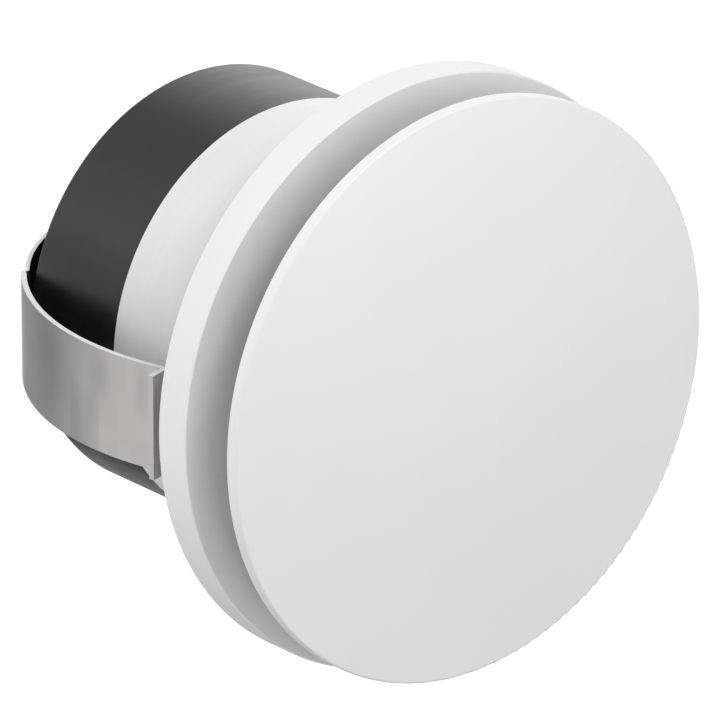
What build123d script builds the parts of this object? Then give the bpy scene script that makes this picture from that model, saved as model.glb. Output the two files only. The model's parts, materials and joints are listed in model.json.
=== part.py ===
from build123d import *
from math import cos, sin, radians, sqrt
import os

# Concealed fire sprinkler head with a flat cover plate, a trim ring and a spring strap.
# Millimetres. Origin: centre of the trim ring's rear (wall) face.
# +Y runs along the water way into the wall, -Y faces the room, +Z is up,
# +X is right seen from the room. "Front" is -Y and "rear" is +Y.
# Every turned outline is a list of (radius, y) points, revolved about the Y axis.

os.makedirs("parts", exist_ok=True)

# ---------------------------------------------------------------- shared dimensions
fit_gap = 0.05                      # between neighbouring pieces
thirds_from_top = (90, 210, 330)    # degrees from +X towards +Z

plate_front_y = -16.1
plate_sheet_thick = 1.0             # pressed sheet behind the visible face
skirt_front_y = -14.5

collar_radius = 32.3
collar_end_y = 25.95
cup_rear_y = 45.35
cup_floor_thick = 1.8
cup_floor_y = cup_rear_y - cup_floor_thick      # inner face of the cup's floor

coupling_radius = 12.0
coupling_hole_radius = coupling_radius + 0.15   # in the cup and the strap
coupling_front_y = 31.0
washer_thick = 0.8

body_thread_radius = 10.4
pin_x = 15.5
pin_radius = 1.5
deflector_front_y = -9.6

bow_flat_y = 59.2                   # outer face of the strap's flat under the rear nut
bow_thick = 0.6                     # the rear bow is thinner strip than the arms
flat_inner_y = bow_flat_y - bow_thick


# ---------------------------------------------------------------- helpers
def radial_plane(deg):
    """Plane whose X is radial at this angle about the Y axis and whose Y is the device axis."""
    a = radians(deg)
    return Plane(origin=(0, 0, 0), x_dir=(cos(a), 0, sin(a)), z_dir=(-sin(a), 0, cos(a)))


def cross_plane(y):
    """Plane across the device axis at y, seen from the rear: its X is -X, its Y is +Z."""
    return Plane(origin=(0, y, 0), x_dir=(-1, 0, 0), z_dir=(0, 1, 0))


def cross_point(radius, deg):
    """Point on a cross plane at this radius and angle about the device axis."""
    return (-radius * cos(radians(deg)), radius * sin(radians(deg)))


def thread_points(y0, y1, major, depth, pitch):
    """Root and crest points of an annular thread form from y0 to y1."""
    turns = int((y1 - y0) / pitch)
    step = (y1 - y0) / turns
    points = []
    for i in range(turns):
        y = y0 + i * step
        points += [
            (major - depth, y + 0.02 * step),
            (major, y + 0.42 * step),
            (major, y + 0.58 * step),
            (major - depth, y + 0.98 * step),
        ]
    return points


def widest_rims(piece):
    """Circular edges of the largest radius, front to rear."""
    circles = piece.edges().filter_by(GeomType.CIRCLE)
    return circles.group_by(SortBy.RADIUS)[-1].sort_by(Axis.Y)


def export(piece, name):
    piece.part.label = name
    export_step(piece.part, f"parts/{name}.step")


def export_turned(name, outline):
    """Build and export a piece that is one revolved outline."""
    with BuildPart() as piece:
        with BuildSketch(Plane.XY):
            with BuildLine():
                Polyline(*outline, close=True)
            make_face()
        revolve(axis=Axis.Y)
    export(piece, name)


# ---------------------------------------------------------------- cover plate
plate_radius = 44.18
plate_back_y = plate_front_y + plate_sheet_thick
plate_rim_y = plate_front_y + 2.0               # rear edge of the turned rim
plate_rim_inner = plate_radius - 1.2
plate_outline = [
    (0, plate_front_y),
    (plate_radius, plate_front_y),
    (plate_radius, plate_rim_y),
    (plate_rim_inner, plate_rim_y),
    (plate_rim_inner, plate_back_y),
    (0, plate_back_y),
]

with BuildPart() as cover_plate:
    with BuildSketch(Plane.XY):
        with BuildLine():
            Polyline(*plate_outline, close=True)
        make_face()
    revolve(axis=Axis.Y)
    fillet(widest_rims(cover_plate)[0], radius=0.35)
    fillet(widest_rims(cover_plate)[-1], radius=0.25)
export(cover_plate, "cover_plate")

# ---------------------------------------------------------------- solder pads
# three pads of low-melting solder between the plate and the retainer's flange
pad_middle_radius = 28.0
pad_length = 4.0                    # radial
pad_width = 6.0
pad_rear_y = skirt_front_y - fit_gap

with BuildPart() as solder_pads:
    for deg in (30, 150, 270):
        with BuildSketch(radial_plane(deg)):
            with Locations((pad_middle_radius, (plate_back_y + pad_rear_y) / 2)):
                Rectangle(pad_length, pad_rear_y - plate_back_y)
        extrude(amount=pad_width / 2, both=True)
export(solder_pads, "solder_pads")

# ---------------------------------------------------------------- cover retainer
skirt_radius = 30.9
skirt_thick = 0.6
skirt_inner = skirt_radius - skirt_thick
skirt_rear_y = 9.0
skirt_open_radius = 25.0            # opening in the front flange
skirt_outline = [
    (skirt_open_radius, skirt_front_y),
    (skirt_radius, skirt_front_y),
    (skirt_radius, skirt_rear_y),
    (skirt_inner, skirt_rear_y),
    (skirt_inner, skirt_front_y + skirt_thick),
    (skirt_open_radius, skirt_front_y + skirt_thick),
]
air_slot_y = -9.6
air_slot_length, air_slot_width = 5.0, 2.2      # long way along Y

with BuildPart() as cover_retainer:
    with BuildSketch(Plane.XY):
        with BuildLine():
            Polyline(*skirt_outline, close=True)
        make_face()
    revolve(axis=Axis.Y)
    fillet(widest_rims(cover_retainer)[0], radius=0.5)
    # twelve air slots round the skirt, cut as opposite pairs
    for deg in range(15, 195, 30):
        a = radians(deg)
        with BuildSketch(Plane(origin=(0, 0, 0), x_dir=(0, 1, 0), z_dir=(cos(a), 0, sin(a)))):
            with Locations((air_slot_y, 0)):
                SlotOverall(air_slot_length, air_slot_width)
        extrude(amount=skirt_radius + 2, both=True, mode=Mode.SUBTRACT)
export(cover_retainer, "cover_retainer")

# ---------------------------------------------------------------- ejection springs
# three leaf springs fixed behind the retainer's flange, pushing on the plate
leaf_line = [(28.5, -13.9), (24.4, -13.9), (20.0, -15.02), (17.6, -14.3)]  # (radius, y)
leaf_thick = 0.3
leaf_width = 6.0

with BuildPart() as ejection_springs:
    for deg in thirds_from_top:
        with BuildSketch(radial_plane(deg)):
            with BuildLine():
                Polyline(*leaf_line)
                offset(amount=leaf_thick, side=Side.RIGHT, kind=Kind.INTERSECTION)
            make_face()
        extrude(amount=leaf_width / 2, both=True)
export(ejection_springs, "ejection_springs")

# ---------------------------------------------------------------- trim ring
ring_radius = 45.12
ring_front_y = -6.0
ring_face_rear_y = ring_front_y + 1.6           # rear of the front wall
ring_rim_inner = ring_radius - 2.0
ring_hub_inner = collar_radius + fit_gap
ring_hub_outer = ring_hub_inner + 2.0
ring_lip_radius = 31.3
ring_lip_rear_y = ring_front_y + 1.2
ring_outline = [
    (ring_lip_radius, ring_front_y),
    (ring_radius, ring_front_y),
    (ring_radius, 0),
    (ring_rim_inner, 0),
    (ring_rim_inner, ring_face_rear_y),
    (ring_hub_outer, ring_face_rear_y),
    (ring_hub_outer, 0),
    (ring_hub_inner, 0),
    (ring_hub_inner, ring_lip_rear_y),
    (ring_lip_radius, ring_lip_rear_y),
]

with BuildPart() as trim_ring:
    with BuildSketch(Plane.XY):
        with BuildLine():
            Polyline(*ring_outline, close=True)
        make_face()
    revolve(axis=Axis.Y)
    fillet(widest_rims(trim_ring)[0], radius=0.3)
    fillet(widest_rims(trim_ring)[-1], radius=0.3)
export(trim_ring, "trim_ring")

# gasket in the trim ring's rear channel
export_turned("wall_gasket", [
    (34.6, -4.4), (42.8, -4.4), (42.8, -0.4), (42.0, -0.1), (35.4, -0.1), (34.6, -0.4),
])

# ---------------------------------------------------------------- collar sleeve
# front half of the cylindrical body, with an inner flange near its rear end
screw_circle_radius = 26.5
screw_radius = 1.45
screw_spots = [cross_point(screw_circle_radius, deg) for deg in thirds_from_top]

collar_inner = collar_radius - 1.3
collar_front_y = ring_lip_rear_y + fit_gap
collar_flange_inner = 28.6
collar_flange_front_y, collar_flange_rear_y = 22.0, 24.0
collar_outline = [
    (collar_inner, collar_front_y),
    (collar_radius, collar_front_y),
    (collar_radius, collar_end_y),
    (collar_inner, collar_end_y),
    (collar_inner, collar_flange_rear_y),
    (collar_flange_inner, collar_flange_rear_y),
    (collar_flange_inner, collar_flange_front_y),
    (collar_inner, collar_flange_front_y),
]
boss_radius = 3.4
boss_front_y = 19.5

with BuildPart() as collar_sleeve:
    with BuildSketch(Plane.XY):
        with BuildLine():
            Polyline(*collar_outline, close=True)
        make_face()
    revolve(axis=Axis.Y)
    # screw bosses on the inner flange
    for spot in screw_spots:
        with BuildSketch(cross_plane(boss_front_y)):
            with Locations(spot):
                Circle(boss_radius)
        extrude(amount=collar_flange_rear_y - boss_front_y)
        with BuildSketch(cross_plane(boss_front_y - 1.5)):
            with Locations(spot):
                Circle(screw_radius + fit_gap)
        extrude(amount=8.0, mode=Mode.SUBTRACT)
export(collar_sleeve, "collar_sleeve")

# ---------------------------------------------------------------- rear cup
# rear half of the body; a spigot at its front end fits inside the collar
cup_radius = 32.27
cup_inner = cup_radius - 1.4
spigot_outer = collar_inner - fit_gap
spigot_inner = 29.6
spigot_front_y = 24.2
cup_outline = [
    (coupling_hole_radius, cup_floor_y),
    (cup_inner, cup_floor_y),
    (cup_inner, 28.5),
    (spigot_inner, 27.3),
    (spigot_inner, spigot_front_y),
    (spigot_outer, spigot_front_y),
    (spigot_outer, collar_end_y),
    (cup_radius, collar_end_y),
    (cup_radius, cup_rear_y),
    (coupling_hole_radius, cup_rear_y),
]

with BuildPart() as rear_cup:
    with BuildSketch(Plane.XY):
        with BuildLine():
            Polyline(*cup_outline, close=True)
        make_face()
    revolve(axis=Axis.Y)
    fillet(widest_rims(rear_cup)[-1], radius=0.5)
    for spot in screw_spots:
        with BuildSketch(cross_plane(cup_rear_y - 3)):
            with Locations(spot):
                Circle(screw_radius + 0.15)
        extrude(amount=4.0, mode=Mode.SUBTRACT)
export(rear_cup, "rear_cup")

# ---------------------------------------------------------------- cup screws
# three long pan-head screws tie the cup to the collar
screw_tip_y = 19.8
screw_head_radius = 2.8
screw_head_height = 1.7
recess_length, recess_width = 3.2, 0.6
recess_floor_y = cup_rear_y + 0.7

with BuildPart() as cup_screws:
    for spot in screw_spots:
        with BuildSketch(cross_plane(screw_tip_y)):
            with Locations(spot):
                Circle(screw_radius)
        extrude(amount=cup_rear_y - screw_tip_y)
        with BuildSketch(cross_plane(cup_rear_y)):
            with Locations(spot):
                Circle(screw_head_radius)
        extrude(amount=screw_head_height)
    head_rims = cup_screws.edges().filter_by(GeomType.CIRCLE).group_by(Axis.Y)[-1]
    fillet(head_rims, radius=0.8)
    # cross recesses
    for spot in screw_spots:
        with BuildSketch(cross_plane(recess_floor_y)):
            with Locations(spot):
                Rectangle(recess_length, recess_width)
                Rectangle(recess_width, recess_length)
        extrude(amount=1.5, mode=Mode.SUBTRACT)
export(cup_screws, "cup_screws")

# ---------------------------------------------------------------- inlet coupling
coupling_rear_y = 64.0
coupling_thread_depth = 0.7
coupling_flange_radius = 15.0       # bears on the inside of the cup's floor
coupling_flange_front_y = 41.0
socket_radius = 9.32                # core of the 1/2 in pipe socket
socket_floor_y = coupling_rear_y - 15.5
socket_chamfer = 0.9
throat_radius = 7.0                 # between the socket and the body's thread
body_bore_radius = body_thread_radius + fit_gap
body_bore_end_y = 45.0

export_turned("inlet_coupling", [
    (coupling_radius, coupling_front_y),
    (coupling_radius, coupling_flange_front_y),
    (coupling_flange_radius, coupling_flange_front_y),
    (coupling_flange_radius, cup_floor_y),
    (coupling_radius, cup_floor_y),
    (coupling_radius, 45.4),
    *thread_points(45.8, 63.2, coupling_radius, coupling_thread_depth, pitch=1.5),
    (coupling_radius - coupling_thread_depth, coupling_rear_y),
    (socket_radius + socket_chamfer, coupling_rear_y),
    (socket_radius, coupling_rear_y - socket_chamfer),
    (socket_radius, socket_floor_y),
    (throat_radius, socket_floor_y),
    (throat_radius, body_bore_end_y),
    (body_bore_radius, body_bore_end_y),
    (body_bore_radius, coupling_front_y),
])

# ---------------------------------------------------------------- nuts and washers
nut_across_flats = 26.0
strap_nut_thick = 3.2               # the nut in front of the strap's flat
# (front y, thickness): one nut behind the cup, two clamping the strap
nut_spans = (
    (cup_rear_y + washer_thick, 4.0),
    (flat_inner_y - strap_nut_thick, strap_nut_thick),
    (bow_flat_y + washer_thick, 2.7),
)

with BuildPart() as lock_nuts:
    for y0, thick in nut_spans:
        with BuildSketch(cross_plane(y0)):
            RegularPolygon(
                radius=nut_across_flats / 2, side_count=6, major_radius=False, rotation=30
            )
            Circle(coupling_radius + fit_gap, mode=Mode.SUBTRACT)
        extrude(amount=thick)
    # the corners are turned off at both faces
    for y0, thick in nut_spans:
        y1 = y0 + thick
        with BuildSketch(Plane.XY):
            with BuildLine():
                Polyline(
                    (14.0, y0 - 0.1), (16.5, y0 - 0.1), (16.5, y1 + 0.1),
                    (14.0, y1 + 0.1), (15.4, y1 - 0.7), (15.4, y0 + 0.7),
                    close=True,
                )
            make_face()
        revolve(axis=Axis.Y, mode=Mode.SUBTRACT)
export(lock_nuts, "lock_nuts")

washer_radius = 14.5

with BuildPart() as lock_washers:
    for y0 in (cup_rear_y, bow_flat_y):
        with BuildSketch(cross_plane(y0)):
            Circle(washer_radius)
            Circle(coupling_radius + 0.2, mode=Mode.SUBTRACT)
        extrude(amount=washer_thick)
export(lock_washers, "lock_washers")

# ---------------------------------------------------------------- sprinkler frame
flange_radius = 18.0
flange_front_y, flange_rear_y = 17.0, 20.0
waterway_radius = 5.5
seat_radius = 6.6                   # recess for the valve, open to the front
seat_y = 18.5
neck_radius = 9.2
body_rear_y = 44.8
frame_outline = [
    (waterway_radius, seat_y),
    (seat_radius, seat_y),
    (seat_radius, flange_front_y),
    (flange_radius, flange_front_y),
    (flange_radius, flange_rear_y),
    (neck_radius, flange_rear_y),
    (neck_radius, 31.4),
    *thread_points(31.6, 44.6, body_thread_radius, depth=0.8, pitch=1.8),
    (9.4, body_rear_y),
    (waterway_radius + 1.2, body_rear_y),
    (waterway_radius, 43.0),
]
hexagon_across_flats = 21.0
hexagon_length = 6.0
yoke_z = 9.0                        # middle of each yoke arm, above and below the axis
yoke_width, yoke_thick = 5.0, 3.0   # along X and Z
yoke_front_y = -4.2
bridge_thick = 3.2
hub_radius = 4.2
hub_front_y = -5.0
load_screw_radius = 2.0

with BuildPart() as sprinkler_frame:
    with BuildSketch(Plane.XY):
        with BuildLine():
            Polyline(*frame_outline, close=True)
        make_face()
    revolve(axis=Axis.Y)
    # wrench hexagon
    with BuildSketch(cross_plane(flange_rear_y)):
        RegularPolygon(radius=hexagon_across_flats / 2, side_count=6, major_radius=False)
        Circle(neck_radius - 0.2, mode=Mode.SUBTRACT)
    extrude(amount=hexagon_length)
    # yoke arms, run 0.5 into the flange
    for side in (1, -1):
        with BuildSketch(cross_plane(yoke_front_y)):
            with Locations((0, yoke_z * side)):
                RectangleRounded(yoke_width, yoke_thick, 1.0)
        extrude(amount=flange_front_y - yoke_front_y + 0.5)
    # bridge across the arms' front ends, and its hub
    with BuildSketch(cross_plane(yoke_front_y)):
        SlotOverall(2 * yoke_z + yoke_thick, yoke_width, rotation=90)
    extrude(amount=bridge_thick)
    with BuildSketch(cross_plane(hub_front_y)):
        Circle(hub_radius)
    extrude(amount=4.8)
    with BuildSketch(cross_plane(hub_front_y - 1)):
        Circle(load_screw_radius + fit_gap)
    extrude(amount=7.0, mode=Mode.SUBTRACT)
    # guide pin holes in the flange
    with BuildSketch(cross_plane(flange_front_y - 1)):
        with Locations((pin_x, 0), (-pin_x, 0)):
            Circle(pin_radius + fit_gap)
    extrude(amount=5.0, mode=Mode.SUBTRACT)
    circles = sprinkler_frame.edges().filter_by(GeomType.CIRCLE)
    chamfer(circles.filter_by(lambda e: abs(e.radius - flange_radius) < 1e-3), length=0.4)
export(sprinkler_frame, "sprinkler_frame")

# ---------------------------------------------------------------- valve, bulb and load screw
# coned disc spring round the button
export_turned("spring_seal", [(3.1, 17.6), (6.4, 18.05), (6.4, 18.45), (3.1, 18.0)])

export_turned("seal_button", [
    (0, 16.6), (1.7, 16.6), (2.2, 16.0), (4.4, 16.0), (4.4, 17.55),
    (3.0, 17.55), (3.0, 21.5), (2.2, 22.3), (0, 22.3),
])

# frangible bulb: closed at the valve end, a fine filling bore in the front pip
export_turned("glass_bulb", [
    # outside, front to rear
    (0.3, 0.7), (0.8, 0.7), (1.1, 1.4), (1.3, 2.6), (2.2, 3.6), (2.5, 4.6),
    (2.5, 14.4), (2.3, 15.6), (1.6, 16.5), (0, 16.55),
    # inside, rear to front
    (0, 15.9), (1.1, 15.8), (1.75, 15.0), (1.9, 14.2), (1.9, 4.8), (1.6, 4.0),
    (0.5, 3.2), (0.3, 2.6),
])

export_turned("bulb_fluid", [
    (0, 4.6), (1.2, 4.7), (1.8, 5.3), (1.8, 13.6), (1.2, 14.4), (0, 14.7),
])

# slotted at the front, cupped at the rear for the bulb's pip
load_screw_outline = [
    (0, -6.2), (1.6, -6.2), (load_screw_radius, -5.8), (load_screw_radius, 0.6),
    (1.5, 1.0), (1.05, 1.0), (0.85, 0.6), (0, 0.6),
]

with BuildPart() as load_screw:
    with BuildSketch(Plane.XY):
        with BuildLine():
            Polyline(*load_screw_outline, close=True)
        make_face()
    revolve(axis=Axis.Y)
    with BuildSketch(cross_plane(-6.3)):
        Rectangle(5.0, 0.6)
    extrude(amount=1.1, mode=Mode.SUBTRACT)
export(load_screw, "load_screw")

# ---------------------------------------------------------------- drop-down deflector
deflector_radius = 13.0
deflector_thick = 1.0
ear_width = 6.4
tooth_slot_length, tooth_slot_width = 8.0, 1.7
tooth_slot_angles = (40, 65, 90, 115, 140, 220, 245, 270, 295, 320)

with BuildPart() as deflector:
    # disc with an ear at each side for the guide pins
    with BuildSketch(cross_plane(deflector_front_y)):
        Circle(deflector_radius)
        SlotOverall(2 * pin_x + 6.0, ear_width)
    extrude(amount=deflector_thick)
    # radial slots between the teeth, clear of the two ears
    for deg in tooth_slot_angles:
        with BuildSketch(cross_plane(deflector_front_y - 1)):
            with Locations(Location(cross_point(deflector_radius - 1.0, deg), -deg)):
                SlotOverall(tooth_slot_length, tooth_slot_width)
        extrude(amount=deflector_thick + 2, mode=Mode.SUBTRACT)
    with BuildSketch(cross_plane(deflector_front_y - 1)):
        with Locations((pin_x, 0), (-pin_x, 0)):
            Circle(pin_radius + 0.02)
    extrude(amount=deflector_thick + 2, mode=Mode.SUBTRACT)
export(deflector, "deflector")

# ---------------------------------------------------------------- guide pins
# (radius about the pin's own axis, y): front head, shank, rear head
pin_outline = [
    (0, -10.4), (1.6, -10.4), (2.3, -9.9), (2.3, deflector_front_y),
    (pin_radius, deflector_front_y), (pin_radius, 36.6),
    (2.6, 36.6), (2.6, 37.6), (2.0, 38.1), (0, 38.1),
]

with BuildPart() as guide_pins:
    for x in (pin_x, -pin_x):
        with BuildSketch(Plane(origin=(x, 0, 0), x_dir=(1, 0, 0), z_dir=(0, 0, 1))):
            with BuildLine():
                Polyline(*pin_outline, close=True)
            make_face()
        revolve(axis=Axis((x, 0, 0), (0, 1, 0)))
export(guide_pins, "guide_pins")

# ---------------------------------------------------------------- strap bow
# circular strip with a flat for the nuts; its two ends slip under the arms
strap_width = 16.0
strap_z = -0.1                      # the strip's middle lies a little below its hole
bow_centre_y, bow_radius = 21.8, 40.55          # outer face
lap_front_y, lap_rear_y = 46.8, 47.6            # bow's end, arm's end
bow_pad_radius = 14.6


def bow_curve(radius, flat_y):
    """Right-hand curve of a bow face: its ends at the flat and the lap, and a middle point."""
    ys = (flat_y, (flat_y + lap_front_y) / 2, lap_front_y)
    return [(sqrt(radius * radius - (y - bow_centre_y) ** 2), y) for y in ys]


outer_right = bow_curve(bow_radius, bow_flat_y)
inner_right = bow_curve(bow_radius - bow_thick, flat_inner_y)
outer_left = [(-x, y) for x, y in outer_right]
inner_left = [(-x, y) for x, y in inner_right]

with BuildPart() as strap_bow:
    with BuildSketch(Plane.XY.offset(strap_z)):
        with BuildLine():
            Line(outer_left[0], outer_right[0])
            ThreePointArc(*outer_right)
            Line(outer_right[-1], inner_right[-1])
            ThreePointArc(*inner_right[::-1])
            Line(inner_right[0], inner_left[0])
            ThreePointArc(*inner_left)
            Line(inner_left[-1], outer_left[-1])
            ThreePointArc(*outer_left[::-1])
        make_face()
    extrude(amount=strap_width / 2, both=True)
    # the coupling's hole is wider than the strip, so the strip widens to a pad round it
    with BuildSketch(cross_plane(flat_inner_y)):
        Circle(bow_pad_radius)
    extrude(amount=bow_thick)
    with BuildSketch(cross_plane(flat_inner_y - 1)):
        Circle(coupling_hole_radius)
    extrude(amount=bow_thick + 2, mode=Mode.SUBTRACT)
export(strap_bow, "strap_bow")

# ---------------------------------------------------------------- spring arms
# long shallow arc from the lap to a tight bend, then the outward lip that grips the wall's back
arm_thick = 0.8
arm_centre_x, arm_centre_y, arm_radius = 2.9, 18.09, 45.75     # outer face, left arm
lip_bend_y = 4.48
lip_bend_radius = 0.75
lip_length = 3.28
lip_direction = (-0.962, -0.273)
lap_gap = 0.05                      # between the bow's end and the arm's relieved end
relief_front_y = lap_front_y - 0.35


def arm_point(y):
    """Point at y on the outer face of the left arm."""
    return (arm_centre_x - sqrt(arm_radius * arm_radius - (y - arm_centre_y) ** 2), y)


bend_point = arm_point(lip_bend_y)
lip_tip = (
    bend_point[0] + lip_length * lip_direction[0],
    bend_point[1] + lip_length * lip_direction[1],
)

with BuildPart() as spring_arm_left:
    with BuildSketch(Plane.XY.offset(strap_z)):
        with BuildLine():
            ThreePointArc(arm_point(lap_rear_y), arm_point(24.0), bend_point)
            lip = Line(bend_point, lip_tip)
            fillet(lip.vertices().sort_by(Axis.X)[-1], radius=lip_bend_radius)
            offset(amount=arm_thick, side=Side.LEFT)
        make_face()
    extrude(amount=strap_width / 2, both=True)
    # the rear end is relieved on its inner face where the bow's end slips under it
    with BuildSketch(Plane.XY):
        with Locations((0, bow_centre_y)):
            Circle(bow_radius + lap_gap)
        with Locations((0, relief_front_y - 50)):
            Rectangle(120, 100, mode=Mode.SUBTRACT)
    extrude(amount=strap_width, both=True, mode=Mode.SUBTRACT)
    tail = spring_arm_left.edges().filter_by(Axis.Z).sort_by(Axis.Y)[-2:].sort_by(Axis.X)[0]
    fillet(tail, radius=0.3)
export(spring_arm_left, "spring_arm_left")

with BuildPart() as spring_arm_right:
    mirror(spring_arm_left.part, about=Plane.YZ)
export(spring_arm_right, "spring_arm_right")
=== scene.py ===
import json
import math

import bmesh
import bpy
from mathutils import Matrix, Vector

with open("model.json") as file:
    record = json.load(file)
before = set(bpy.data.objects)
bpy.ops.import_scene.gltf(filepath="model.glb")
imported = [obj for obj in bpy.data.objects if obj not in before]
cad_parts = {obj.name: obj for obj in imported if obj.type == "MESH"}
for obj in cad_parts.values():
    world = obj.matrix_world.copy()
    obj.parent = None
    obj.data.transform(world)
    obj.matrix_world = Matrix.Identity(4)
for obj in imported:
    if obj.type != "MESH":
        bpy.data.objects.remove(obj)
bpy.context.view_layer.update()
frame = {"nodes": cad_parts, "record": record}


MM = 0.001
SHARP_ANGLE = math.radians(28)

# Ranges of a noise value that are spread over a full change of look
NOISE_BAND = (0.3, 0.7)
TONE_BAND = (0.35, 0.65)

# Each side's axis and its sign
SIDES = {"front": ("Y", -1), "left": ("X", -1), "back": ("Y", 1), "right": ("X", 1)}


# ------------------------------------------------------------------ node helpers
class Graph:
    """Builds a node tree. Values may be numbers, tuples or output sockets."""

    def __init__(self, tree):
        self.tree = tree
        tree.nodes.clear()

    def new(self, kind, **props):
        node = self.tree.nodes.new("ShaderNode" + kind)
        for key, value in props.items():
            setattr(node, key, value)
        return node

    def feed(self, socket, value):
        if isinstance(value, (int, float)):
            socket.default_value = value
        elif isinstance(value, tuple):
            socket.default_value = (*value, 1.0)[:len(socket.default_value)]
        else:
            self.tree.links.new(value, socket)

    def math(self, operation, *values, clamp=False):
        node = self.new("Math", operation=operation, use_clamp=clamp)
        for socket, value in zip(node.inputs, values):
            self.feed(socket, value)
        return node.outputs[0]

    def add(self, a, b):
        return self.math("ADD", a, b)

    def minus(self, a, b, clamp=False):
        return self.math("SUBTRACT", a, b, clamp=clamp)

    def times(self, a, b, clamp=False):
        return self.math("MULTIPLY", a, b, clamp=clamp)

    def total(self, first, *others):
        result = first
        for term in others:
            result = self.add(term, result)
        return result

    def weigh(self, *pairs):
        """Sum of two (value, weight) pairs."""
        first, second = (self.times(value, weight) for value, weight in pairs)
        return self.add(first, second)

    def split(self, vec):
        node = self.new("SeparateXYZ")
        self.feed(node.inputs[0], vec)
        return node.outputs

    def stretch(self, vec, x, y, z):
        node = self.new("VectorMath", operation="MULTIPLY")
        self.feed(node.inputs[0], vec)
        self.feed(node.inputs[1], (x, y, z))
        return node.outputs[0]

    def gain(self, vec, factor):
        """A vector or colour times one factor."""
        node = self.new("VectorMath", operation="SCALE")
        self.feed(node.inputs[0], vec)
        self.feed(node.inputs["Scale"], factor)
        return node.outputs[0]

    def span(self, value, to=(0.0, 1.0), over=NOISE_BAND, **props):
        """Goes from to[0] to to[1] as the value crosses the range `over`."""
        node = self.new("MapRange", **props)
        for end, low_high in (("From", over), ("To", to)):
            node.inputs[end + " Min"].default_value = low_high[0]
            node.inputs[end + " Max"].default_value = low_high[1]
        self.feed(node.inputs["Value"], value)
        return node.outputs["Result"]

    def side_sum(self, vec, values):
        """Each side's value, weighted by the squared cosine of the direction to that side."""
        unit = self.new("VectorMath", operation="NORMALIZE")
        self.feed(unit.inputs[0], self.stretch(vec, x=1, y=1, z=0))
        direction = self.split(unit.outputs[0])
        result = None
        for side, value in values.items():
            axis, sign = SIDES[side]
            cosine = self.math("MAXIMUM", self.times(direction[axis], sign), 0.0)
            term = self.times(self.times(cosine, cosine), value)
            result = term if result is None else self.add(result, term)
        return result


class Surface(Graph):
    """A material's node tree, ending in a Principled shader."""

    def __init__(self, name):
        self.mat = bpy.data.materials.new(name)
        self.mat.use_nodes = True
        super().__init__(self.mat.node_tree)
        out = self.new("OutputMaterial")
        self.bsdf = self.new("BsdfPrincipled")
        self.feed(out.inputs["Surface"], self.bsdf.outputs["BSDF"])

    def set(self, name, value):
        self.feed(self.bsdf.inputs[name], value)

    def position(self):
        """Object position in millimetres."""
        return self.gain(self.new("TexCoord").outputs["Object"], 1 / MM)

    def normal(self):
        return self.new("NewGeometry").outputs["Normal"]

    def noise(self, vec, scale, detail=3.0, rough=0.55):
        node = self.new("TexNoise")
        node.inputs["Scale"].default_value = scale
        node.inputs["Detail"].default_value = detail
        node.inputs["Roughness"].default_value = rough
        self.feed(node.inputs["Vector"], vec)
        return node.outputs["Fac"]

    def mix(self, factor, a, b):
        node = self.new("Mix", data_type="RGBA")
        self.feed(node.inputs["Factor"], factor)
        colours = [s for s in node.inputs if s.type == "RGBA"]
        for socket, value in zip(colours, (a, b)):
            self.feed(socket, value)
        return next(s for s in node.outputs if s.type == "RGBA")

    def shade(self, tone, dark, light, over=TONE_BAND):
        return self.mix(self.span(tone, over=over), dark, light)

    def radius(self, x, z):
        """Distance from the Y axis."""
        return self.math("SQRT", self.add(self.times(x, x), self.times(z, z)))

    def blots(self, a, b, spots):
        """Soft-edged oval spots; each is (centre a, centre b, radius a, radius b, amount)."""
        result = []
        for centre_a, centre_b, radius_a, radius_b, amount in spots:
            u = self.times(self.minus(a, centre_a), 1.0 / radius_a)
            v = self.times(self.minus(b, centre_b), 1.0 / radius_b)
            squares = self.add(self.times(u, u), self.times(v, v))
            fade = self.minus(1.0, squares, clamp=True)
            result.append(self.times(self.times(fade, fade), amount))
        return result

    def bump(self, height, strength, depth, under=None):
        """Bumps of the given depth in millimetres, on top of the normal `under`."""
        node = self.new("Bump")
        node.inputs["Strength"].default_value = strength
        node.inputs["Distance"].default_value = depth * MM
        self.feed(node.inputs["Height"], height)
        if under is not None:
            self.feed(node.inputs["Normal"], under)
        return node.outputs["Normal"]

    def edge(self, radius, width=0.18):
        """1 on edges, 0 on flats, from a bevelled normal against the true one."""
        bevel = self.new("Bevel", samples=4)
        bevel.inputs["Radius"].default_value = radius * MM
        dot = self.new("VectorMath", operation="DOT_PRODUCT")
        self.feed(dot.inputs[0], bevel.outputs["Normal"])
        self.feed(dot.inputs[1], self.normal())
        return self.span(dot.outputs["Value"], to=(1.0, 0.0), over=(1.0 - width, 1.0))


# ------------------------------------------------------------------ materials
def ring_front(n, base, vec, fine, facing_y, recess_shade):
    """The ring's right side darkened as painted shade, and its front face painted a drifting grey
    that stands for the shade in the gap under the plate.
    """
    x, y, z = n.split(vec)
    # painted shade: the right side of the ring is darkened
    base = n.gain(base, n.span(x, to=(1.0, 0.93), over=(8.0, 18.0)))
    # painted shade: the front face's grey, lighter toward the right and below the middle, darker
    # again at the very bottom
    gap_shade = n.shade(fine, tuple(c * 0.95 for c in recess_shade), recess_shade)
    gap_shade = n.gain(gap_shade, n.total(
        n.span(x, to=(0.967, 1.11), over=(-9.0, 20.0)),
        n.span(z, to=(0.09, 0.0), over=(-9.0, 18.0)),
        n.span(z, to=(-0.07, 0.0), over=(-38.0, -24.0)),
    ))
    # painted shade: darker toward the plate's edge, lighter toward the ring's outer edge, and
    # darker still further in low down
    radius = n.radius(x, z)
    low = n.times(
        n.span(radius, to=(-0.08, 0.0), over=(40.0, 42.5)),
        n.span(z, to=(1.0, 0.0), over=(-15.0, 0.0)),
    )
    gap_shade = n.gain(gap_shade, n.total(n.span(radius, to=(0.925, 1.10), over=(39.8, 44.5)), low))
    return n.mix(n.span(facing_y, to=(1.0, 0.0), over=(-0.98, -0.90)), base, gap_shade)


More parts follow.
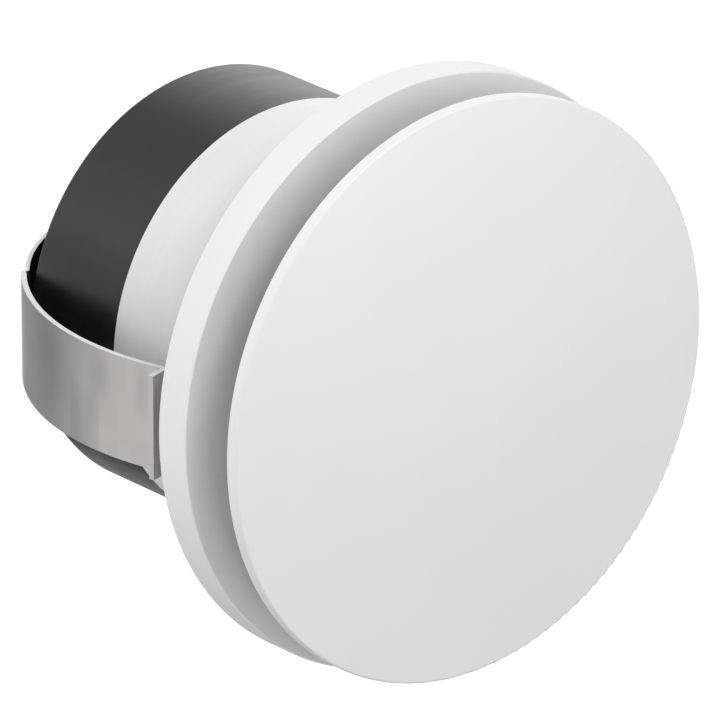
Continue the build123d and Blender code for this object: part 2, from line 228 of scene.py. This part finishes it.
def powder_coat(name, light, dark, grain=5.0, bump=0.10, recess_shade=None):
    """Matte powder coat: orange peel under a finer grain, with slight tone drift."""
    n = Surface(name)
    vec = n.position()
    drift = n.noise(vec, scale=0.035, detail=2.0)
    fine = n.noise(vec, scale=grain, detail=2.0, rough=0.6)
    peel = n.noise(vec, scale=0.9, detail=2.0, rough=0.5)
    base = n.shade(n.weigh((drift, 0.7), (fine, 0.3)), dark, light)
    # painted shade: downward faces are a shade darker than the lights alone leave them
    facing = n.split(n.normal())
    base = n.gain(base, n.span(facing["Z"], to=(0.71, 1.0), over=(-0.80, -0.08)))
    # painted shade on the ring's right side and in its front recess
    if recess_shade:
        base = ring_front(n, base, vec, fine, facing["Y"], recess_shade)
    n.set("Base Color", base)
    n.set("Roughness", n.span(fine, to=(0.50, 0.60)))
    n.set("Specular IOR Level", 0.2)
    peeled = n.bump(peel, strength=0.05, depth=0.06)
    n.set("Normal", n.bump(fine, strength=bump, depth=0.03, under=peeled))
    return n.mat


def moulded(name, light, dark, rough, grain=6.0, bump=0.12, spec=0.5, painted_light=None, painted_sheen=None):
    """Injection-moulded plastic: fine spark-eroded grain, faint flow lines round the axis."""
    n = Surface(name)
    vec = n.position()
    fine = n.noise(vec, scale=grain, rough=0.65)
    flow = n.noise(n.stretch(vec, x=0.02, y=0.6, z=0.02), scale=1.0, detail=2.0)
    base = n.shade(n.weigh((flow, 0.6), (fine, 0.4)), dark, light)
    # the optional gain on the colour paints light and shade
    n.set("Base Color", n.gain(base, painted_light(n, vec)) if painted_light else base)
    flow_weight = 1.0
    flow_rough = n.times(n.span(flow, to=(0.0, 0.05)), flow_weight)
    n.set("Roughness", n.add(n.span(fine, to=rough), flow_rough))
    # the optional factor on the gloss paints sheen and shadow
    n.set("Specular IOR Level", n.times(painted_sheen(n, vec), spec) if painted_sheen else spec)
    n.set("Normal", n.bump(fine, strength=bump, depth=0.03))
    return n.mat


def collar_painted_light(n, vec):
    """Painted light and shade: lighter on top and in a band round mid height where the strap
    shades the collar, darker underneath.
    """
    x, y, z = n.split(vec)
    return n.total(
        n.span(z, to=(0.90, 1.01), over=(9.0, 24.0)),
        n.span(z, to=(0.0, 0.035), over=(28.0, 32.0)),
        *n.blots(z, y, [(0.5, 13.0, 9.5, 80.0, 0.27)]),
        n.span(z, to=(-0.13, 0.0), over=(-19.0, -9.0)),
    )


# Changes of gloss on the cup, as painted sheen and a painted shadow under the strap's lower edge:
# centre z, centre y, radius z, radius y, amount
CUP_SHEEN_SPOTS = (
    (27.0, 35.0, 5.0, 60.0, -0.23),
    (11.5, 35.0, 6.5, 60.0, -0.33),
    (31.0, 35.0, 2.0, 60.0, 0.10),
    (-16.0, 35.0, 8.0, 60.0, -0.95),
)


def cup_painted_sheen(n, vec):
    """Painted sheen: soft zones of more or less gloss by height, with a painted shadow low down
    below the strap.
    """
    x, y, z = n.split(vec)
    return n.total(1.0, *n.blots(z, y, CUP_SHEEN_SPOTS))


# Painted light and shade as lighter and darker spots on both arms: centre y, centre z, radius y,
# radius z, amount
STRIP_SPOTS = (
    (28.6, 3.5, 7.5, 13.0, -0.19),
    (16.0, 4.0, 3.2, 5.0, -0.14),
    (17.5, -6.0, 5.0, 7.0, 0.12),
    (20.0, 1.0, 2.5, 9.0, 0.09),
    (8.0, 4.0, 2.2, 7.0, -0.11),
    (36.0, -4.0, 4.0, 6.0, 0.05),
    (44.0, -2.0, 4.5, 11.0, 0.26),
)


def strip_shading(n, base, y, z):
    """Painted shade on parts of the strip, a darker front, then its painted light and shade
    spots.
    """
    # painted shade: a faint darker patch across the lower half of each arm
    patch = n.times(
        n.span(y, over=(16.3, 16.6)),
        n.span(y, to=(1.0, 0.0), over=(23.1, 23.4)),
    )
    patch = n.times(patch, n.span(z, to=(0.26, 0.0), over=(-2.5, 2.0)))
    base = n.mix(patch, base, (0.24, 0.235, 0.23))
    # painted shade: the inner side behind the cup, which sees almost no light, is painted near
    # black where it is occluded
    hidden = n.new("AmbientOcclusion", samples=6)
    hidden.inputs["Distance"].default_value = 0.03
    behind = n.times(
        n.span(hidden.outputs["AO"], to=(0.9, 0.0), over=(0.10, 0.55)),
        n.span(y, over=(46.0, 48.0)),
    )
    base = n.mix(behind, base, (0.02, 0.02, 0.02))
    # darker toward the front
    base = n.mix(n.span(y, to=(0.22, 0.0), over=(5.0, 13.0)), base, (0.20, 0.195, 0.19))
    # painted light and shade: the spots on both arms
    return n.gain(base, n.total(1.0, *n.blots(y, z, STRIP_SPOTS)))


def strip_steel(name):
    """Cold-rolled stainless strip: satin with clouds and bands, hair-fine rolling lines."""
    n = Surface(name)
    vec = n.position()
    x, y, z = n.split(vec)
    hair = n.noise(n.stretch(vec, x=0.10, y=0.10, z=22.0), scale=1.0, detail=2.0, rough=0.6)
    grit = n.noise(vec, scale=7.0, detail=2.0, rough=0.6)
    bands = n.noise(n.stretch(vec, x=0.03, y=0.22, z=0.015), scale=1.0, detail=2.0, rough=0.5)
    cloud = n.noise(vec, scale=0.12, detail=2.0)
    tone = n.weigh((bands, 0.5), (cloud, 0.5))
    base = n.shade(tone, dark=(0.415, 0.405, 0.395), light=(0.455, 0.437, 0.422))
    base = n.mix(n.span(hair, to=(0.0, 0.22)), base, (0.38, 0.37, 0.36))
    base = strip_shading(n, base, y, z)
    facing = n.split(n.normal())
    # painted light: the side turned to the collar is brighter there
    inward = n.times(
        n.span(n.times(x, facing["X"]), to=(1.0, 0.0), over=(-20.0, 0.0)),
        n.span(y, to=(1.0, 0.0), over=(23.0, 29.0)),
    )
    base = n.mix(inward, base, (0.86, 0.86, 0.855))
    # painted light: the lip's front face is paler and less metallic than the rest of the strip
    lip = n.times(
        n.span(facing["Y"], to=(1.0, 0.0), over=(-0.8, -0.6)),
        n.span(y, to=(1.0, 0.0), over=(5.0, 6.0)),
    )
    base = n.mix(lip, base, (0.56, 0.545, 0.53))
    # the sheared edges, facing up and down, are rougher and less metallic, and are painted paler
    # as a painted highlight
    sheared = n.span(n.math("ABSOLUTE", facing["Z"]), over=(0.6, 0.9))
    edge_highlight = n.shade(grit, (0.94, 0.935, 0.925), (0.99, 0.985, 0.975), over=NOISE_BAND)
    n.set("Base Color", n.mix(sheared, base, edge_highlight))
    metal = n.minus(1.0, n.times(sheared, 0.85))
    n.set("Metallic", n.minus(metal, n.times(lip, 0.6), clamp=True))
    rough = n.add(n.span(hair, to=(0.27, 0.33)), n.span(bands, to=(-0.015, 0.02)))
    n.set("Roughness", n.add(rough, n.times(sheared, 0.3)))
    n.set("Anisotropic", n.times(n.minus(1.0, sheared), 0.45))
    gritty = n.bump(grit, strength=0.05, depth=0.01)
    n.set("Normal", n.bump(hair, strength=0.04, depth=0.01, under=gritty))
    return n.mat


def turned(name, light, dark, rough=(0.22, 0.36), pitch=5.0, metallic=1.0, bump=0.12, stain=None):
    """Machined metal: tool marks round the water way's axis, tarnish, polished edges."""
    n = Surface(name)
    vec = n.position()
    x, y, z = n.split(vec)
    profile = n.new("CombineXYZ")
    n.feed(profile.inputs[0], n.radius(x, z))
    n.feed(profile.inputs[1], y)
    marks = n.noise(profile.outputs[0], scale=pitch, rough=0.7)
    patch = n.noise(vec, scale=0.25, detail=4.0, rough=0.6)
    base = n.shade(n.weigh((marks, 0.45), (patch, 0.55)), dark, light)
    if stain:
        base = n.mix(n.span(patch, to=(0.0, 0.5), over=(0.52, 0.72)), base, stain)
    polish = n.times(n.edge(radius=0.3), 0.6, clamp=True)
    n.set("Base Color", n.mix(polish, base, tuple(min(1.0, c * 1.25) for c in light)))
    n.set("Metallic", metallic)
    n.set("Roughness", n.add(n.span(marks, to=rough), n.span(patch, to=(-0.03, 0.06))))
    n.set("Normal", n.bump(marks, strength=bump, depth=0.02))
    return n.mat


def foam(name):
    """Closed-cell foam: small cells and pores."""
    n = Surface(name)
    cells = n.new("TexVoronoi")
    cells.inputs["Scale"].default_value = 2.4
    n.feed(cells.inputs["Vector"], n.position())
    cell = cells.outputs["Distance"]
    n.set("Base Color", n.shade(
        cell, dark=(0.035, 0.036, 0.038), light=(0.10, 0.10, 0.105), over=(0.1, 0.7)))
    n.set("Roughness", 0.9)
    n.set("Normal", n.bump(cell, strength=0.5, depth=0.15))
    return n.mat


def lumpy(name, light, dark):
    """Solder: soft lumps and a dull skin."""
    n = Surface(name)
    lump = n.noise(n.position(), scale=0.8, rough=0.5)
    n.set("Base Color", n.shade(lump, dark, light, over=NOISE_BAND))
    n.set("Metallic", 1.0)
    n.set("Roughness", n.span(lump, to=(0.30, 0.5)))
    n.set("Normal", n.bump(lump, strength=0.4, depth=0.2))
    return n.mat


def clear_glass(name):
    """Clear glass with a slight wave."""
    n = Surface(name)
    wave = n.noise(n.position(), scale=0.6, detail=2.0)
    n.set("Base Color", n.shade(wave, (0.97, 0.99, 0.99), (1.0, 1.0, 1.0), over=NOISE_BAND))
    n.set("Transmission Weight", 1.0)
    n.set("IOR", 1.47)
    n.set("Roughness", n.span(wave, to=(0.01, 0.04)))
    n.set("Normal", n.bump(wave, strength=0.04, depth=0.05))
    return n.mat


def red_liquid(name):
    """Glossy red liquid, slightly cloudy."""
    n = Surface(name)
    settle = n.noise(n.position(), scale=0.35, detail=2.0)
    n.set("Base Color", n.shade(
        settle, dark=(0.62, 0.015, 0.008), light=(0.85, 0.04, 0.02), over=NOISE_BAND))
    n.set("Roughness", n.span(settle, to=(0.06, 0.12)))
    n.set("Subsurface Weight", 0.3)
    n.set("Subsurface Radius", (0.002, 0.0005, 0.0003))
    n.set("Coat Weight", 0.6)
    return n.mat


# Material name: (maker, its arguments)
RECIPES = {
    "white_plate": (powder_coat, dict(light=(0.86, 0.86, 0.862), dark=(0.835, 0.835, 0.838))),
    # white_ring: its recess colour is a grey painted as the shade in the gap under the plate
    "white_ring": (powder_coat, dict(
        light=(0.865, 0.865, 0.867), dark=(0.84, 0.84, 0.843),
        grain=4.0, bump=0.16, recess_shade=(0.66, 0.66, 0.662))),
    # white_collar: its colour carries painted light and shade
    "white_collar": (moulded, dict(
        light=(0.86, 0.86, 0.862), dark=(0.83, 0.83, 0.832),
        rough=(0.42, 0.54), spec=0.4, painted_light=collar_painted_light)),
    # black_cup: its gloss carries painted sheen and a painted shadow
    "black_cup": (moulded, dict(
        light=(0.0045, 0.0045, 0.0047), dark=(0.0030, 0.0030, 0.0032),
        rough=(0.36, 0.44), grain=7.0, bump=0.14, spec=1.0, painted_sheen=cup_painted_sheen)),
    "spring_steel": (strip_steel, {}),
    "steel_fastener": (turned, dict(
        light=(0.66, 0.66, 0.67), dark=(0.52, 0.53, 0.55),
        rough=(0.28, 0.4), pitch=4.0, stain=(0.50, 0.51, 0.47))),
    "black_iron": (turned, dict(
        light=(0.035, 0.035, 0.037), dark=(0.018, 0.018, 0.019),
        rough=(0.38, 0.5), pitch=3.0, metallic=0.3)),
    "black_nut": (turned, dict(
        light=(0.045, 0.045, 0.046), dark=(0.025, 0.025, 0.026),
        rough=(0.34, 0.46), pitch=3.0, metallic=0.4)),
    "brass": (turned, dict(
        light=(0.83, 0.62, 0.30), dark=(0.70, 0.50, 0.22), stain=(0.48, 0.31, 0.13))),
    "retainer_metal": (turned, dict(
        light=(0.62, 0.62, 0.625), dark=(0.53, 0.53, 0.535),
        rough=(0.30, 0.42), pitch=2.5, bump=0.06, stain=(0.46, 0.46, 0.45))),
    "copper_spring": (turned, dict(
        light=(0.80, 0.46, 0.29), dark=(0.68, 0.36, 0.21),
        rough=(0.2, 0.32), pitch=3.0, bump=0.05)),
    "solder": (lumpy, dict(light=(0.62, 0.62, 0.64), dark=(0.46, 0.46, 0.49))),
    "gasket_foam": (foam, {}),
    "seal_coating": (moulded, dict(
        light=(0.10, 0.20, 0.185), dark=(0.07, 0.15, 0.14), rough=(0.3, 0.4))),
    "bulb_glass": (clear_glass, {}),
    "bulb_liquid": (red_liquid, {}),
}
materials = {name: make(name, **options) for name, (make, options) in RECIPES.items()}

slot_of = {part["node"]: part["material_slot"] for part in frame["record"]["subparts"]}
for name, obj in frame["nodes"].items():
    mesh = obj.data
    mesh.materials.clear()
    mesh.materials.append(materials[slot_of[name]])
    for polygon in mesh.polygons:
        polygon.use_smooth = True
    mesh.set_sharp_from_angle(angle=SHARP_ANGLE)

# ------------------------------------------------------------------ floor
scene = bpy.context.scene

FLOOR_HALF = 6.0
FLOOR_Z = -0.32
# The floor's glow as seen by camera, diffuse and glossy rays, the last by side
FLOOR_CAMERA = 1.05
FLOOR_DIFFUSE = 0.491
FLOOR_GLOSSY = {"left": 1.338, "back": 0.365, "right": 1.377, "front": 1.377}


def floor_material():
    n = Surface("pale_floor")
    vec = n.position()
    soft = n.noise(vec, scale=0.004, detail=2.0)
    n.set("Base Color", n.shade(soft, (0.10, 0.10, 0.10), (0.12, 0.12, 0.12), over=NOISE_BAND))
    n.set("Roughness", 1.0)
    n.set("Specular IOR Level", 0.0)
    n.set("Emission Color", (1.0, 1.0, 1.0))
    rays = n.new("LightPath").outputs
    camera, glossy = rays["Is Camera Ray"], rays["Is Glossy Ray"]
    seen = n.times(camera, FLOOR_CAMERA)
    mirrored = n.times(glossy, n.side_sum(vec, FLOOR_GLOSSY))
    rest = n.minus(1.0, n.add(camera, glossy), clamp=True)
    n.set("Emission Strength", n.add(n.add(seen, mirrored), n.times(rest, FLOOR_DIFFUSE)))
    n.mat.cycles.emission_sampling = "NONE"
    return n.mat


def stage_floor():
    bm = bmesh.new()
    bmesh.ops.create_grid(bm, x_segments=8, y_segments=8, size=FLOOR_HALF)
    mesh = bpy.data.meshes.new("floor")
    bm.to_mesh(mesh)
    bm.free()
    floor = bpy.data.objects.new("floor", mesh)
    floor.location = (0, 0, FLOOR_Z)
    scene.collection.objects.link(floor)
    mesh.materials.append(floor_material())


stage_floor()

# ------------------------------------------------------------------ world
# Sky strength near the horizon by side, and overhead, for glossy and for all other rays
SKY_SIDES = {"front": 0.834, "left": 1.469, "back": 3.652, "right": 1.379}
SKY_HIGH = 0.22
GLOSSY_SIDES = {"front": 0.662, "left": 0.0, "back": 1.724, "right": 2.577}
GLOSSY_HIGH = 0.0


def build_world():
    world = bpy.data.worlds.new("studio")
    scene.world = world
    world.use_nodes = True
    world.cycles.sampling_method = "NONE"
    n = Graph(world.node_tree)
    out = n.new("OutputWorld")
    rays = n.new("LightPath").outputs
    direction = n.new("TexCoord").outputs["Generated"]
    height = n.split(direction)["Z"]
    rise = n.span(height, over=(0.1, 0.9), interpolation_type="SMOOTHSTEP")

    def sky(sides, high):
        low = n.times(n.side_sum(direction, sides), n.minus(1.0, rise))
        background = n.new("Background")
        n.feed(background.inputs["Strength"], n.add(low, n.times(rise, high)))
        return background.outputs[0]

    def choose(ray, otherwise, chosen):
        node = n.new("MixShader")
        for socket, value in zip(node.inputs, (ray, otherwise, chosen)):
            n.feed(socket, value)
        return node.outputs[0]

    # the camera sees plain white
    seen = n.new("Background")
    seen.inputs["Color"].default_value = (1, 1, 1, 1)
    lit = choose(rays["Is Glossy Ray"], sky(SKY_SIDES, SKY_HIGH), sky(GLOSSY_SIDES, GLOSSY_HIGH))
    n.feed(out.inputs["Surface"], choose(rays["Is Camera Ray"], lit, seen.outputs[0]))


build_world()

# ------------------------------------------------------------------ lights and camera
# Square area lights: name, place, aim, side, watts
LIGHTS = (
    ("key", (-0.04, -0.13, 0.155), (0.0, -0.015, 0.01), 0.08, 0.1246),
    ("left", (-0.50, 0.30, 0.20), (0.0, 0.02, 0.0), 0.35, 0.1479),
    ("rim", (0.45, 0.55, 0.36), (0.0, 0.02, 0.0), 0.40, 0.2117),
    ("top", (-0.10, 0.12, 0.60), (0.0, 0.0, 0.0), 0.30, 0.2302),
    ("aloft", (-0.15, 0.40, 0.50), (0.0, 0.02, 0.0), 0.35, 0.1936),
    ("aside", (0.40, -0.15, 0.35), (0.0, -0.01, 0.0), 0.30, 0.5624),
    ("fore", (-0.38, -0.40, 0.06), (0.0, -0.01, 0.0), 0.35, 0.3741),
)
for name, place, aim, side, watts in LIGHTS:
    light = bpy.data.lights.new(name, "AREA")
    light.shape = "RECTANGLE"
    light.size = light.size_y = side
    light.energy = watts
    lamp = bpy.data.objects.new(name, light)
    lamp.location = place
    lamp.rotation_euler = (Vector(aim) - Vector(place)).to_track_quat("-Z", "Y").to_euler()
    scene.collection.objects.link(lamp)
    lamp.visible_camera = False

# Columns: the camera's right, up and backward directions, and its place
CAMERA_POSE = (
    (0.76367, 0.23933, -0.59961, -0.94094),
    (-0.64561, 0.28310, -0.70926, -1.10419),
    (0.0, 0.92875, 0.37071, 0.57907),
    (0, 0, 0, 1),
)
lens = bpy.data.cameras.new("camera")
camera = bpy.data.objects.new("camera", lens)
scene.collection.objects.link(camera)
lens.sensor_width = 36.0
lens.lens = 538.4
lens.clip_start = 0.1
lens.clip_end = 50.0
camera.matrix_world = Matrix(CAMERA_POSE)
scene.camera = camera
scene.view_settings.view_transform = "Standard"
scene.view_settings.look = "None"

bpy.context.view_layer.update()
